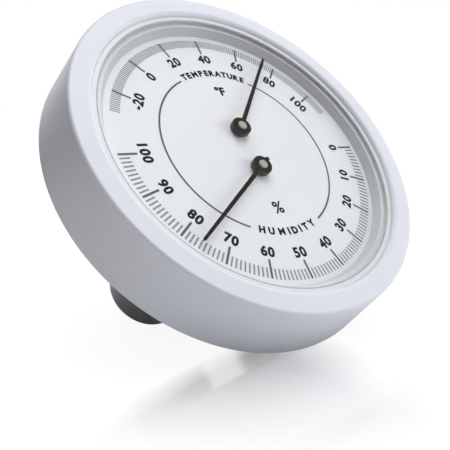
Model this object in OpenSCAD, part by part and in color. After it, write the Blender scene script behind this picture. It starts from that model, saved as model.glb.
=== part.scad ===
// Round table thermo-hygrometer, standing. It leans back on its rear lower edge and on two legs.
// Every piece is drawn in the dial's own frame: X to the right, Y up the dial, Z out of the dial
// towards the reader, with zero at the centre of the case's face. stand() then leans the whole
// instrument back and sets it on the ground, so that +Z is up and the dial faces -Y.

/* [Stance] */
// How far the dial leans back from upright, in degrees
lean = 41.1; // [36:0.1:46]

/* [Case] */
// Diameter of the opening in front of the lens
opening_d = 111.2; // [106:0.2:118]
// Width of the flat rim round the opening
rim_w = 7.3; // [7:0.1:9]
// How much further the case reaches out at its back than at its face
case_flare = 2.1; // [0.4:0.1:4]
// Clear space in the case between the adjusters and the rear cover
rear_space = 1.2; // [1:0.1:8]
// Thickness of the case's side wall
case_wall = 2.2; // [1.6:0.1:2.5]
// Rounding of the rim's outer edge
rim_edge_r = 1; // [0.6:0.1:3]
// Rounding of the rim's inner edge
lip_edge_r = 0.8; // [0.3:0.1:1.2]
// Rounding of the case's rear edge
rear_edge_r = 1.2; // [0.5:0.1:1.3]
// Thickness of the rim in front of the lens
lip_t = 1.8; // [1.5:0.1:2.4]
// How far the rim reaches in over the lens
lip_overlap = 1; // [0.8:0.1:1.2]
// Diameter of the screw bosses behind the rim
boss_d = 4; // [3.8:0.1:4.4]

/* [Lens and dial] */
// Thickness of the lens
lens_t = 1.3; // [1:0.1:2]
// Thickness of the seal behind the lens
gasket_t = 0.4; // [0.3:0.1:0.8]
// Width of the seal ring
gasket_w = 1.4; // [1:0.1:1.6]
// Depth of the conical flange between the seal and the dial
flange_h = 3; // [2.8:0.1:4]
// Width of the flange's flat front ledge, which shows inside the opening's edge
flange_ledge_w = 3.4; // [1.5:0.1:4]
// How far the cone runs inwards from that ledge to the dial
flange_slope_w = 1.8; // [1:0.1:2.2]
// Thickness of the dial plate
dial_t = 0.8; // [0.5:0.1:1.5]
// Distance of each pointer's axis from the dial's centre
pivot_offset = 8; // [7.4:0.1:9]

/* [Pointers] */
// Length of the thermometer pointer from its axis to its tip
thermometer_pointer_l = 41.4; // [30:0.2:43]
// Length of the hygrometer pointer from its axis to its tip
hygrometer_pointer_l = 42.4; // [30:0.2:43]
// Direction of the thermometer pointer, clockwise from the top of the dial
thermometer_angle = 41.7; // [-70:0.1:70]
// Direction of the hygrometer pointer, clockwise from the bottom of the dial
hygrometer_angle = 56.9; // [-90:0.1:90]
// Width of a pointer at its hub
pointer_w = 1.7; // [1:0.1:2.4]
// Width of a pointer at its tip
pointer_tip_w = 0.8; // [0.4:0.1:1]
// Thickness of a pointer's blade
pointer_t = 0.4; // [0.3:0.05:0.6]
// Length of a pointer behind its axis
pointer_tail_l = 4.6; // [3.5:0.1:6]
// Diameter of a pointer's hub
hub_d = 7; // [5.4:0.1:7.4]
// Height of a pointer's hub
hub_h = 2.2; // [1.6:0.05:2.3]
// Diameter of the metal cap on a hub
cap_d = 3.2; // [2.6:0.1:4.4]
// Height of that cap
cap_h = 0.45; // [0.3:0.05:0.5]

/* [Movements] */
// Thickness of the movement plate
plate_t = 2.5; // [2:0.1:3]
// Diameter of a spindle
spindle_d = 1.6; // [1.2:0.1:2]
// Diameter of a front bush where it passes through the dial
bush_d = 4.8; // [4.2:0.1:5.6]
// Diameter of a front bush's flange
bush_flange_d = 7.2; // [6.4:0.1:8]
// Thickness of that flange
bush_flange_t = 0.8; // [0.6:0.1:1.2]
// Outer diameter of a collet on its spindle
collet_d = 4; // [3.6:0.1:4.6]
// Width of the coil's strip, measured along the spindle
coil_w = 3.2; // [2.4:0.1:3.4]
// Thickness of the coil's strip
strip_t = 0.35; // [0.2:0.05:0.45]
// Turns in each coil
coil_turns = 5; // [3:1:5]
// Distance from one turn to the next
coil_pitch = 0.85; // [0.7:0.05:0.9]
// Width of an adjuster's arm
arm_w = 3; // [2:0.1:4]
// Thickness of an adjuster's arm
arm_t = 0.8; // [0.6:0.1:1]
// Diameter of an adjuster's neck in its bridge
neck_d = 5.2; // [4.4:0.1:5.6]
// Diameter of an adjuster's slotted head
slot_head_d = 6.6; // [6.2:0.1:7]
// Thickness of a bridge
bridge_t = 1.2; // [1:0.1:1.6]
// Width of a bridge
bridge_w = 8; // [7:0.1:10]
// Distance of a bridge's posts from its middle
post_x = 12; // [11.5:0.1:13]
// Diameter of a bridge's posts
post_d = 4.4; // [4:0.1:5]

/* [Rear cover] */
// Thickness of the rear cover
cover_t = 2; // [1.6:0.1:2.4]
// Depth of the cover below the case's rear edge
cover_recess = 1.5; // [1.4:0.1:2.5]
// Distance of the cover's screws from the cover's edge
cover_screw_inset = 12.3; // [10:0.1:14]
// Diameter of the pillars that take the cover's screws
pillar_d = 7; // [6:0.1:8]
// Diameter of the holes that give access to the adjusters
access_d = 6; // [4:0.1:6.4]
// Width of a vent slot
vent_w = 2; // [1.2:0.1:2.4]
// Distance of the upper vents' inner ends from the middle
vent_inner = 18; // [17:0.1:19]
// Length of the upper vents
vent_l = 11; // [6:0.1:12]
// Distance of the lower vents' inner ends from the middle
low_vent_inner = 24; // [20:0.1:26]
// Number of upper vents
vent_count = 13; // [5:2:15]
// Number of lower vents
low_vent_count = 4; // [2:2:4]

/* [Hanger] */
// Distance of the hanger's keyhole above the middle
hanger_y = 40; // [38:0.1:42]
// Diameter of the keyhole's round entry
keyhole_d = 8.4; // [6:0.1:8.8]
// Width of the keyhole's slot
keyhole_slot_w = 4.4; // [3:0.1:5]
// Length of the keyhole's slot above its entry
keyhole_rise = 8; // [6:0.1:9]
// Width of the hanger plate
hanger_w = 22; // [21:0.1:26]
// Height of the hanger plate
hanger_h = 24; // [23:0.1:25]
// Thickness of the hanger plate
hanger_t = 0.8; // [0.5:0.1:0.9]

/* [Legs] */
// Distance of each leg from the middle, sideways
leg_x = 25; // [22:0.1:28]
// Distance of each leg below the middle
leg_drop = 20.4; // [18:0.1:24]
// Diameter of a leg
leg_d = 27.2; // [22:0.1:28]
// Length of the rubber foot along its leg
foot_l = 20; // [12:0.1:24]
// Thickness of the rubber foot's wall
foot_wall = 2.4; // [1.6:0.1:3]
// Thickness of the rubber foot's floor
foot_floor = 3; // [2:0.1:5]
// Rounding of the rubber foot's edge
foot_edge_r = 1; // [0.4:0.1:1.5]
// Wall of a leg's hollow post
post_wall = 2.4; // [1.8:0.1:3]
// Thickness of a leg's closed end at the cover
leg_top_t = 5; // [4:0.1:8]

/* [Screws] */
// Diameter of the small screws in the case's bosses
small_screw_d = 1.8; // [1.5:0.1:1.9]
// Diameter of the bridge screws
bridge_screw_d = 2; // [1.6:0.1:2.2]
// Diameter of the cover's screws
cover_screw_d = 2.4; // [2:0.1:2.6]
// Diameter of the leg screws
leg_screw_d = 3.9; // [3:0.1:4.2]
// Depth that each screw enters its boss, pillar or leg
screw_grip = 4; // [3:0.1:4.4]

/* [Fits] */
// Radial gap between moulded parts that sit in one another
seat_gap = 0.2; // [0.1:0.05:0.3]
// Radial gap round a turning spindle or neck
running_gap = 0.05; // [0.03:0.01:0.08]
// Radial gap round parts that are pressed or screwed tight
tight_gap = 0.01; // [0.01:0.01:0.04]
// End play of each turning part
end_play = 0.25; // [0.15:0.05:0.3]

/* [Hidden] */
$fn = 96;

// Colours, as the photograph shows them
shell_colour = [0.87, 0.88, 0.92];
dial_colour = [0.90, 0.91, 0.94];
flange_colour = [0.80, 0.81, 0.85];
glass_colour = [0.85, 0.90, 0.95, 0.3];
seal_colour = [0.45, 0.46, 0.48];
plate_colour = [0.25, 0.26, 0.28];
brass_colour = [0.78, 0.65, 0.36];
steel_colour = [0.72, 0.73, 0.75];
coil_colour = [0.62, 0.56, 0.50];
pointer_colour = [0.20, 0.19, 0.16];
rubber_colour = [0.24, 0.24, 0.24];

// How far a cut runs past the face that it opens
cut_past = 0.5;

// Levels along the dial's normal, from the face backwards to the case's rear edge
lens_front_z = -lip_t;
lens_back_z = lens_front_z - lens_t;
flange_front_z = lens_back_z - gasket_t;
dial_z = flange_front_z - flange_h;
plate_front_z = dial_z - dial_t;
plate_back_z = plate_front_z - plate_t;

// Movements, from the bush's flange back to the adjuster's head
bush_back_z = plate_back_z - bush_flange_t;
coil_front_z = bush_back_z - 4 * end_play;
coil_back_z = coil_front_z - coil_w;
collet_front_z = coil_front_z + end_play;
collet_back_z = coil_back_z - end_play;
arm_front_z = collet_back_z - 1.5 * end_play;
arm_back_z = arm_front_z - arm_t;
bridge_front_z = arm_back_z - end_play;
bridge_back_z = bridge_front_z - bridge_t;
head_front_z = bridge_back_z - end_play;
slot_head_t = 0.8;
head_back_z = head_front_z - slot_head_t;
spindle_back_z = bridge_front_z - bridge_t / 2;
cover_front_z = head_back_z - rear_space;
cover_back_z = cover_front_z - cover_t;
case_depth = cover_recess - cover_back_z;

// Radii of the case and of what lies in it
opening_r = opening_d / 2;
face_r = opening_r + rim_w;
rear_r = face_r + case_flare;
stack_r = opening_r + lip_overlap;
function outer_r(z) = face_r - case_flare * z / case_depth;
function inner_r(z) = outer_r(z) - case_wall;
boss_circle_r = stack_r + seat_gap + boss_d / 2;
plate_r = inner_r(lens_front_z) - seat_gap;
cover_r = inner_r(cover_front_z) - seat_gap;
cover_screw_circle_r = cover_r - cover_screw_inset;

// Pointers: each hub floats above its bush, and its cap stays below the lens
bush_front_z = dial_z + 0.5 * end_play;
hub_back_z = bush_front_z + end_play;
hub_front_z = hub_back_z + hub_h;
blade_back_z = hub_front_z - 1.5 * pointer_t;

// Coils, and the fingers that hold their outer ends
coil_inner_r = collet_d / 2 + strip_t / 2;
coil_outer_r = coil_inner_r + coil_turns * coil_pitch;
finger_r = coil_outer_r + strip_t / 2;
finger_t = 1;
finger_w = 1.6;
slot_w = 1;
slot_depth_share = 0.6;
coil_steps = 24;

// Screws: each head's proportions to its shank, and what stays free at a screw's end
head_ratio = 1.9;
head_rise = 0.55;
recess_w_share = 0.22;
recess_l_share = 0.72;
recess_depth_share = 0.55;
screw_end_gap = 0.5;
cross = [0:90:270];
cover_screw_turns = [30:120:270];
both_sides = [-1, 1];

// Hanger
hanger_mid_y = hanger_y + keyhole_rise / 2;
rivet_d = 2;
rivet_head_d = 3.6;
rivet_head_t = 0.6;
rivet_web = 1.2;
window_gap = 1.2;
hanger_corner_r = 2;
rivet_x = keyhole_d / 2 + window_gap + rivet_web + rivet_d / 2;

// Legs
leg_r = leg_d / 2;
post_r = leg_r - foot_wall;
washer_d = 2.3 * leg_screw_d;
washer_t = 0.8;
leg_boss_r = leg_screw_d;
leg_boss_l = screw_grip + 2 * screw_end_gap;
leg_boss_floor = 1.2;
collar_edge_r = 0.6;

// Standing: the heights and depths of the edges that the instrument reaches out to, along the
// row's Z and Y, each on the round of an edge
up = cos(lean);
out = sin(lean);
rear_round_r = outer_r(rear_edge_r - case_depth) - rear_edge_r;
rear_round_z = rear_edge_r - case_depth;
floor_level = -up * rear_round_r + out * rear_round_z - rear_edge_r;
foot_low_y = -leg_drop - leg_r + foot_edge_r;
leg_end_z = (floor_level + foot_edge_r - up * foot_low_y) / out - foot_edge_r;
face_round_r = face_r - rim_edge_r;
front_reach = -out * face_round_r + up * rim_edge_r - rim_edge_r;
back_reach = out * rear_round_r - up * rear_round_z + rear_edge_r;
mid_reach = (front_reach + back_reach) / 2;
foot_front_z = leg_end_z + foot_l;

// Leans the dial's frame back and sets the instrument on the ground
module stand() {
    translate([0, -mid_reach, -floor_level]) rotate([90 - lean, 0, 0]) children();
}

// Points of the round that joins two straight edges at corner p, with radius r
function unit(v) = v / norm(v);
function round_corner(a, p, b, r, steps = 6) =
    let (
        u = unit(a - p),
        v = unit(b - p),
        half = acos(u * v) / 2,
        centre = p + unit(u + v) * r / sin(half),
        start = p + u * r / tan(half) - centre,
        turn = (180 - 2 * half) * sign(start[0] * (p - centre)[1] - start[1] * (p - centre)[0])
    )
    [for (i = [0:steps])
        let (t = turn * i / steps)
        centre + [start[0] * cos(t) - start[1] * sin(t), start[0] * sin(t) + start[1] * cos(t)]];

// A round bar between two levels
module bar(r, z0, z1) {
    translate([0, 0, min(z0, z1)]) cylinder(r = r, h = abs(z1 - z0));
}

// A hole that runs past both levels
module drill(r, z0, z1, past = cut_past) {
    translate([0, 0, min(z0, z1) - past]) cylinder(r = r, h = abs(z1 - z0) + 2 * past);
}

// A slot with round ends that runs outwards from radius r0 to radius r1
module radial_slot(r0, r1, w, z0, z1) {
    translate([r0, -w / 2, z0]) cube([r1 - r0, w, z1 - z0]);
    for (x = [r0, r1]) translate([x, 0, z0]) cylinder(r = w / 2, h = z1 - z0, $fn = 32);
}

// A cross-headed screw driven forwards. Its head rests at level z, on the rear side.
module screw(d, z, grip_l) {
    head_r = d * head_ratio / 2;
    head_h = d * head_rise;
    recess_w = head_r * 2 * recess_w_share;
    recess_l = head_r * 2 * recess_l_share;
    recess_h = head_h * recess_depth_share;
    difference() {
        union() {
            bar(d / 2, z - tight_gap, z + grip_l);
            rotate_extrude(convexity = 2)
                polygon(concat(
                    [[0, z], [0, z - head_h]],
                    round_corner([0, z - head_h], [head_r, z - head_h], [head_r, z], head_h / 2, 4),
                    [[head_r, z]]
                ));
        }
        for (turn = [0, 90])
            rotate([0, 0, turn])
                translate([-recess_l / 2, -recess_w / 2, z - head_h - recess_h])
                    cube([recess_l, recess_w, 2 * recess_h]);
    }
}

// Case

module case_shell() {
    boss_back_z = plate_front_z;
    profile = concat(
        round_corner([opening_r, lens_front_z], [opening_r, 0], [face_r, 0], lip_edge_r),
        round_corner([opening_r, 0], [face_r, 0], [rear_r, -case_depth], rim_edge_r, 8),
        round_corner([face_r, 0], [rear_r, -case_depth], [0, -case_depth], rear_edge_r),
        [
            [inner_r(-case_depth), -case_depth],
            [inner_r(lens_front_z), lens_front_z],
            [opening_r, lens_front_z]
        ]
    );
    color(shell_colour) stand() difference() {
        union() {
            rotate_extrude(convexity = 4, $fn = 180) polygon(profile);
            intersection() {
                for (a = cross)
                    rotate([0, 0, a]) translate([boss_circle_r, 0, 0])
                        bar(boss_d / 2, boss_back_z, lens_front_z + lip_t / 3);
                bar(inner_r(0) + case_wall / 2, boss_back_z, 0);
            }
        }
        for (a = cross)
            rotate([0, 0, a]) translate([boss_circle_r, 0, 0])
                drill(small_screw_d / 2 + tight_gap, boss_back_z, boss_back_z + screw_grip, tight_gap);
    }
}

module lens() {
    edge_r = lens_t / 5;
    color(glass_colour) stand()
        rotate_extrude($fn = 180)
            polygon(concat(
                [[0, lens_back_z]],
                round_corner([0, lens_back_z], [stack_r, lens_back_z], [stack_r, 0], edge_r, 3),
                round_corner([stack_r, lens_back_z], [stack_r, lens_front_z], [0, lens_front_z],
                    edge_r, 3),
                [[0, lens_front_z]]
            ));
}

module lens_gasket() {
    color(seal_colour) stand() difference() {
        bar(stack_r, flange_front_z, lens_back_z, $fn = 180);
        drill(stack_r - gasket_w, flange_front_z, lens_back_z, $fn = 180);
    }
}

// The conical ring that holds the lens off the dial
module inner_flange() {
    color(flange_colour) stand()
        rotate_extrude(convexity = 2, $fn = 180)
            polygon([
                [stack_r, flange_front_z],
                [opening_r - flange_ledge_w, flange_front_z],
                [opening_r - flange_ledge_w - flange_slope_w, dial_z],
                [stack_r, dial_z]
            ]);
}

// Places something at each element's axis: first the thermometer's, then the hygrometer's
module at_thermometer() {
    translate([0, pivot_offset, 0]) children();
}

module at_hygrometer() {
    translate([0, -pivot_offset, 0]) children();
}

module at_both() {
    at_thermometer() children();
    at_hygrometer() children();
}

module dial_plate() {
    color(dial_colour) stand() difference() {
        bar(stack_r, plate_front_z, dial_z, $fn = 180);
        at_both() drill(bush_d / 2 + seat_gap, plate_front_z, dial_z);
    }
}

// Movement plate

module movement_plate() {
    color(plate_colour) stand() difference() {
        union() {
            bar(plate_r, plate_back_z, plate_front_z, $fn = 180);
            for (a = cover_screw_turns)
                rotate([0, 0, a]) translate([cover_screw_circle_r, 0, 0])
                    bar(pillar_d / 2, cover_front_z, plate_front_z - plate_t / 2);
        }
        at_both() drill(bush_d / 2 + tight_gap, plate_back_z, plate_front_z);
        for (side = both_sides)
            at_both() translate([side * post_x, 0, 0])
                drill(bridge_screw_d / 2 + tight_gap, plate_back_z, plate_front_z);
        for (a = cross)
            rotate([0, 0, a]) translate([boss_circle_r, 0, 0])
                drill(small_screw_d / 2 + 2 * tight_gap, plate_back_z, plate_front_z);
        for (a = cover_screw_turns)
            rotate([0, 0, a]) translate([cover_screw_circle_r, 0, 0])
                drill(cover_screw_d / 2 + tight_gap, cover_front_z,
                    cover_front_z + screw_grip + screw_end_gap);
    }
}

module movement_screws() {
    color(steel_colour) stand()
        for (a = cross)
            rotate([0, 0, a]) translate([boss_circle_r, 0, 0])
                screw(small_screw_d, plate_back_z, plate_t + screw_grip - screw_end_gap);
}

module front_bush() {
    difference() {
        union() {
            bar(bush_d / 2, plate_back_z - tight_gap, bush_front_z);
            bar(bush_flange_d / 2, bush_back_z, plate_back_z);
        }
        drill(spindle_d / 2 + running_gap, bush_back_z, bush_front_z);
    }
}

module thermometer_bush() {
    color(brass_colour) stand() at_thermometer() front_bush();
}

module hygrometer_bush() {
    color(brass_colour) stand() at_hygrometer() front_bush();
}

// A bridge: a flat strap on two posts, with the bearing of an adjuster in its middle
module bridge() {
    difference() {
        union() {
            translate([-post_x, -bridge_w / 2, bridge_back_z]) cube([2 * post_x, bridge_w, bridge_t]);
            for (side = both_sides) translate([side * post_x, 0, 0]) {
                bar(bridge_w / 2, bridge_back_z, bridge_front_z);
                bar(post_d / 2, bridge_front_z - bridge_t / 2, plate_back_z);
            }
        }
        drill(neck_d / 2 + running_gap, bridge_back_z, bridge_front_z);
        for (side = both_sides) translate([side * post_x, 0, 0])
            drill(bridge_screw_d / 2 + tight_gap, bridge_back_z, plate_back_z);
    }
}

module thermometer_bridge() {
    color(brass_colour) stand() at_thermometer() bridge();
}

module hygrometer_bridge() {
    color(brass_colour) stand() at_hygrometer() bridge();
}

module bridge_screws() {
    color(steel_colour) stand()
        for (side = both_sides)
            at_both() translate([side * post_x, 0, 0])
                screw(bridge_screw_d, bridge_back_z, plate_front_z - bridge_back_z - screw_end_gap);
}

// Rear cover

// Directions of the upper vents, spread over the cover's upper half
vent_turns = [for (i = [0:vent_count - 1]) 180 * i / (vent_count - 1)];
low_vent_step = 8;
low_vent_turns = [for (i = [0:low_vent_count - 1])
    270 + low_vent_step * (i - (low_vent_count - 1) / 2)];

module keyhole(gap, z0, z1) {
    translate([0, hanger_y, 0]) {
        drill(keyhole_d / 2 + gap, z0, z1);
        translate([0, keyhole_rise, 0]) drill(keyhole_slot_w / 2 + gap, z0, z1);
        translate([-keyhole_slot_w / 2 - gap, 0, z0 - cut_past])
            cube([keyhole_slot_w + 2 * gap, keyhole_rise, z1 - z0 + 2 * cut_past]);
    }
}

module rear_cover() {
    edge_r = cover_t / 4;
    color(shell_colour) stand() difference() {
        rotate_extrude(convexity = 2, $fn = 180)
            polygon(concat(
                [[0, cover_back_z]],
                round_corner([0, cover_back_z], [cover_r, cover_back_z], [cover_r, cover_front_z],
                    edge_r, 4),
                [[cover_r, cover_front_z], [0, cover_front_z]]
            ));
        for (a = cover_screw_turns)
            rotate([0, 0, a]) translate([cover_screw_circle_r, 0, 0])
                drill(cover_screw_d / 2 + seat_gap, cover_back_z, cover_front_z);
        at_both() drill(access_d / 2, cover_back_z, cover_front_z);
        for (side = both_sides)
            translate([side * leg_x, -leg_drop, 0])
                drill(leg_screw_d / 2 + seat_gap, cover_back_z, cover_front_z);
        for (side = both_sides)
            translate([side * rivet_x, hanger_mid_y, 0])
                drill(rivet_d / 2 + tight_gap, cover_back_z, cover_front_z);
        keyhole(window_gap, cover_back_z, cover_front_z);
        for (a = vent_turns)
            rotate([0, 0, a])
                radial_slot(vent_inner, vent_inner + vent_l, vent_w, cover_back_z - cut_past,
                    cover_front_z + cut_past);
        for (a = low_vent_turns)
            rotate([0, 0, a])
                radial_slot(low_vent_inner, low_vent_inner + vent_l, vent_w,
                    cover_back_z - cut_past, cover_front_z + cut_past);
    }
}

module cover_screws() {
    color(steel_colour) stand()
        for (a = cover_screw_turns)
            rotate([0, 0, a]) translate([cover_screw_circle_r, 0, 0])
                screw(cover_screw_d, cover_back_z, cover_t + screw_grip);
}

module hanger_plate() {
    plate_z = cover_back_z - hanger_t;
    corner_x = hanger_w / 2 - hanger_corner_r;
    corner_y = hanger_h / 2 - hanger_corner_r;
    color(steel_colour) stand() difference() {
        translate([0, hanger_mid_y, plate_z]) linear_extrude(hanger_t) union() {
            square([hanger_w, 2 * corner_y], center = true);
            square([2 * corner_x, hanger_h], center = true);
            for (x = both_sides, y = both_sides)
                translate([x * corner_x, y * corner_y]) circle(hanger_corner_r);
        }
        keyhole(0, plate_z, cover_back_z);
        for (side = both_sides)
            translate([side * rivet_x, hanger_mid_y, 0])
                drill(rivet_d / 2 + tight_gap, plate_z, cover_back_z);
    }
}

module hanger_rivets() {
    plate_z = cover_back_z - hanger_t;
    head_r = rivet_head_d / 2;
    color(steel_colour) stand()
        for (side = both_sides)
            translate([side * rivet_x, hanger_mid_y, 0]) {
                bar(rivet_d / 2, plate_z - tight_gap, cover_front_z + tight_gap);
                bar(head_r, cover_front_z, cover_front_z + rivet_head_t);
                rotate_extrude()
                    polygon(concat(
                        [[0, plate_z], [0, plate_z - rivet_head_t]],
                        round_corner([0, plate_z - rivet_head_t], [head_r, plate_z - rivet_head_t],
                            [head_r, plate_z], rivet_head_t * 0.8, 4),
                        [[head_r, plate_z]]
                    ));
            }
}

// Legs

// A leg: a collar as wide as the foot, then a hollow post that the foot slides onto
module leg() {
    post_end_z = leg_end_z + foot_floor;
    cavity_top_z = cover_back_z - leg_top_t;
    cavity_r = post_r - post_wall;
    boss_end_z = min(cavity_top_z, cover_back_z - leg_boss_l - leg_boss_floor);
    difference() {
        rotate_extrude(convexity = 4)
            polygon(concat(
                [[0, cover_back_z]],
                round_corner([0, cover_back_z], [leg_r, cover_back_z], [leg_r, foot_front_z],
                    collar_edge_r, 4),
                [
                    [leg_r, foot_front_z],
                    [post_r, foot_front_z],
                    [post_r, post_end_z],
                    [cavity_r, post_end_z],
                    [cavity_r, cavity_top_z],
                    [leg_boss_r, cavity_top_z],
                    [leg_boss_r, boss_end_z],
                    [0, boss_end_z]
                ]
            ));
        drill(leg_screw_d / 2 + tight_gap, cover_back_z, cover_back_z - leg_boss_l, tight_gap);
    }
}

// The rubber foot: a deep cup pulled over the post
module foot() {
    rotate_extrude(convexity = 4)
        polygon(concat(
            [
                [0, leg_end_z + foot_floor],
                [0, leg_end_z]
            ],
            round_corner([0, leg_end_z], [leg_r, leg_end_z], [leg_r, foot_front_z], foot_edge_r),
            [
                [leg_r, foot_front_z],
                [post_r + tight_gap, foot_front_z],
                [post_r + tight_gap, leg_end_z + foot_floor]
            ]
        ));
}

module at_leg(side) {
    translate([side * leg_x, -leg_drop, 0]) children();
}

module left_leg() {
    color(shell_colour) stand() at_leg(-1) leg();
}

module right_leg() {
    color(shell_colour) stand() at_leg(1) leg();
}

module left_foot() {
    color(rubber_colour) stand() at_leg(-1) foot();
}

module right_foot() {
    color(rubber_colour) stand() at_leg(1) foot();
}

// The leg screws are driven backwards, from inside the cover
module leg_screws() {
    seat_z = cover_front_z + washer_t;
    color(steel_colour) stand()
        for (side = both_sides)
            at_leg(side) translate([0, 0, seat_z]) mirror([0, 0, 1])
                screw(leg_screw_d, 0, washer_t + cover_t + screw_grip);
}

module leg_washers() {
    color(steel_colour) stand()
        for (side = both_sides)
            at_leg(side) difference() {
                bar(washer_d / 2, cover_front_z, cover_front_z + washer_t);
                drill(leg_screw_d / 2 + seat_gap, cover_front_z, cover_front_z + washer_t);
            }
}

// Movements

// Centre line of the coil's strip at turn t, a plain spiral that starts at angle 0
function coil_point(t, side) =
    let (r = coil_inner_r + coil_pitch * t + side * strip_t / 2)
    [r * cos(360 * t), r * sin(360 * t)];

// The coil starts at its collet and ends at its adjuster's finger, both on the same side
module coil() {
    count = coil_turns * coil_steps;
    outline = concat(
        [for (i = [0:count]) coil_point(i / coil_steps, 1)],
        [for (i = [count:-1:0]) coil_point(i / coil_steps, -1)]
    );
    translate([0, 0, coil_back_z]) linear_extrude(coil_w) polygon(outline);
}

// Brass ring that clamps the coil's inner end to the spindle
module collet() {
    difference() {
        bar(collet_d / 2, collet_back_z, collet_front_z);
        drill(spindle_d / 2 + tight_gap, collet_back_z, collet_front_z);
    }
}

module spindle() {
    bar(spindle_d / 2, spindle_back_z, hub_front_z - end_play);
}

// The adjuster turns in its bridge. Its arm carries the finger that holds the coil's outer end,
// its neck is the spindle's rear bearing, and its slotted head faces the hole in the cover.
module adjuster() {
    bore_back_z = spindle_back_z - end_play;
    slot_depth = slot_head_t * slot_depth_share;
    difference() {
        union() {
            bar(slot_head_d / 2, arm_back_z, arm_front_z);
            translate([0, -arm_w / 2, arm_back_z]) cube([finger_r + finger_t, arm_w, arm_t]);
            translate([finger_r, -finger_w / 2, arm_back_z])
                cube([finger_t, finger_w, coil_front_z - arm_back_z]);
            bar(neck_d / 2, head_back_z, arm_front_z);
            bar(slot_head_d / 2, head_back_z, head_front_z);
        }
        bar(spindle_d / 2 + running_gap, bore_back_z, arm_front_z + cut_past);
        translate([-slot_head_d, -slot_w / 2, head_back_z - slot_depth])
            cube([2 * slot_head_d, slot_w, 2 * slot_depth]);
    }
}

// A pointer that points along +Y from its axis: a flat tapered blade on a round hub
module pointer(length) {
    difference() {
        union() {
            translate([0, 0, blade_back_z]) linear_extrude(pointer_t)
                polygon([
                    [-pointer_w / 2, -pointer_tail_l],
                    [pointer_w / 2, -pointer_tail_l],
                    [pointer_w / 2, hub_d / 2],
                    [pointer_tip_w / 2, length - pointer_tip_w],
                    [0, length],
                    [-pointer_tip_w / 2, length - pointer_tip_w],
                    [-pointer_w / 2, hub_d / 2]
                ]);
            bar(hub_d / 2, hub_back_z, hub_front_z);
        }
        drill(spindle_d / 2 + tight_gap, hub_back_z, hub_front_z);
    }
}

module cap() {
    cap_r = cap_d / 2;
    top_z = hub_front_z + cap_h;
    rotate_extrude()
        polygon(concat(
            [[0, hub_front_z], [cap_r, hub_front_z]],
            round_corner([cap_r, hub_front_z], [cap_r, top_z], [0, top_z], cap_h * 0.7, 5),
            [[0, top_z]]
        ));
}

// The thermometer's finger stands at the top of its coil, the hygrometer's at the bottom
module thermometer_adjuster() {
    color(brass_colour) stand() at_thermometer() rotate([0, 0, 90]) adjuster();
}

module thermometer_coil() {
    color(coil_colour) stand() at_thermometer() rotate([0, 0, 90]) coil();
}

module thermometer_collet() {
    color(brass_colour) stand() at_thermometer() collet();
}

module thermometer_spindle() {
    color(steel_colour) stand() at_thermometer() spindle();
}

module thermometer_pointer() {
    color(pointer_colour) stand() at_thermometer() rotate([0, 0, -thermometer_angle])
        pointer(thermometer_pointer_l);
}

module thermometer_cap() {
    color(steel_colour) stand() at_thermometer() cap();
}

module hygrometer_adjuster() {
    color(brass_colour) stand() at_hygrometer() rotate([0, 0, 270]) adjuster();
}

module hygrometer_coil() {
    color(coil_colour) stand() at_hygrometer() rotate([0, 0, 270]) coil();
}

module hygrometer_collet() {
    color(brass_colour) stand() at_hygrometer() collet();
}

module hygrometer_spindle() {
    color(steel_colour) stand() at_hygrometer() spindle();
}

module hygrometer_pointer() {
    color(pointer_colour) stand() at_hygrometer() rotate([0, 0, 180 - hygrometer_angle])
        pointer(hygrometer_pointer_l);
}

module hygrometer_cap() {
    color(steel_colour) stand() at_hygrometer() cap();
}

case_shell();
lens();
lens_gasket();
inner_flange();
dial_plate();
movement_plate();
movement_screws();
thermometer_bush();
hygrometer_bush();
thermometer_bridge();
hygrometer_bridge();
bridge_screws();
rear_cover();
cover_screws();
hanger_plate();
hanger_rivets();
left_leg();
right_leg();
left_foot();
right_foot();
leg_screws();
leg_washers();
thermometer_adjuster();
thermometer_coil();
thermometer_collet();
thermometer_spindle();
thermometer_pointer();
thermometer_cap();
hygrometer_adjuster();
hygrometer_coil();
hygrometer_collet();
hygrometer_spindle();
hygrometer_pointer();
hygrometer_cap();
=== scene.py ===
"""Looks of a round table thermo-hygrometer that leans back on its rear rim and on two rear legs."""

import math

import bmesh
import bpy
import numpy as np
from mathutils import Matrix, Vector


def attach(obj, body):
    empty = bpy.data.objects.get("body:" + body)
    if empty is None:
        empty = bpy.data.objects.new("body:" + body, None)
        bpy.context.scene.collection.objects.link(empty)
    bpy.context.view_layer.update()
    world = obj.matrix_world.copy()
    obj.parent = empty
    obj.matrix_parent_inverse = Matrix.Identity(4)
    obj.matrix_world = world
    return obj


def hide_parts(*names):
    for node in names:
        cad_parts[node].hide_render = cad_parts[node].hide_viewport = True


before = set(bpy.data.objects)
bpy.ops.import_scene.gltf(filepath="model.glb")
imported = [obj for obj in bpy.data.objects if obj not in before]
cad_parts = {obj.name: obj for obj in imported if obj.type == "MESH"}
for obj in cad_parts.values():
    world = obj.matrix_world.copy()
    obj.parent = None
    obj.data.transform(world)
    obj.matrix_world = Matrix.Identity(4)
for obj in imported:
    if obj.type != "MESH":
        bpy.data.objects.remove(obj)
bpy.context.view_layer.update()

# Case. One satin injection moulding in a cool white: a broad flat rim, a short lip over the glass,
# and a side wall that opens out a little towards the back. Four blind bosses behind the rim take
# the movement's screws. Every size on the instrument is in mm, from the centre of the rim's face.

LEAN = math.radians(41.1)
FACE_CENTRE = np.array([0.0, -9.4399, 63.8064])
opening_r, face_r, rear_r = 55.6, 62.9, 65.0
lens_front, case_back = -1.8, -23.425
wall = 2.2
lip_round, face_round, rear_round, inner_round = 1.5, 1.0, 1.2, 0.3
boss_circle, boss_r, boss_hole_r, boss_back, boss_grip = 58.8, 2.0, 0.91, -7.3, 4.0


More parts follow.
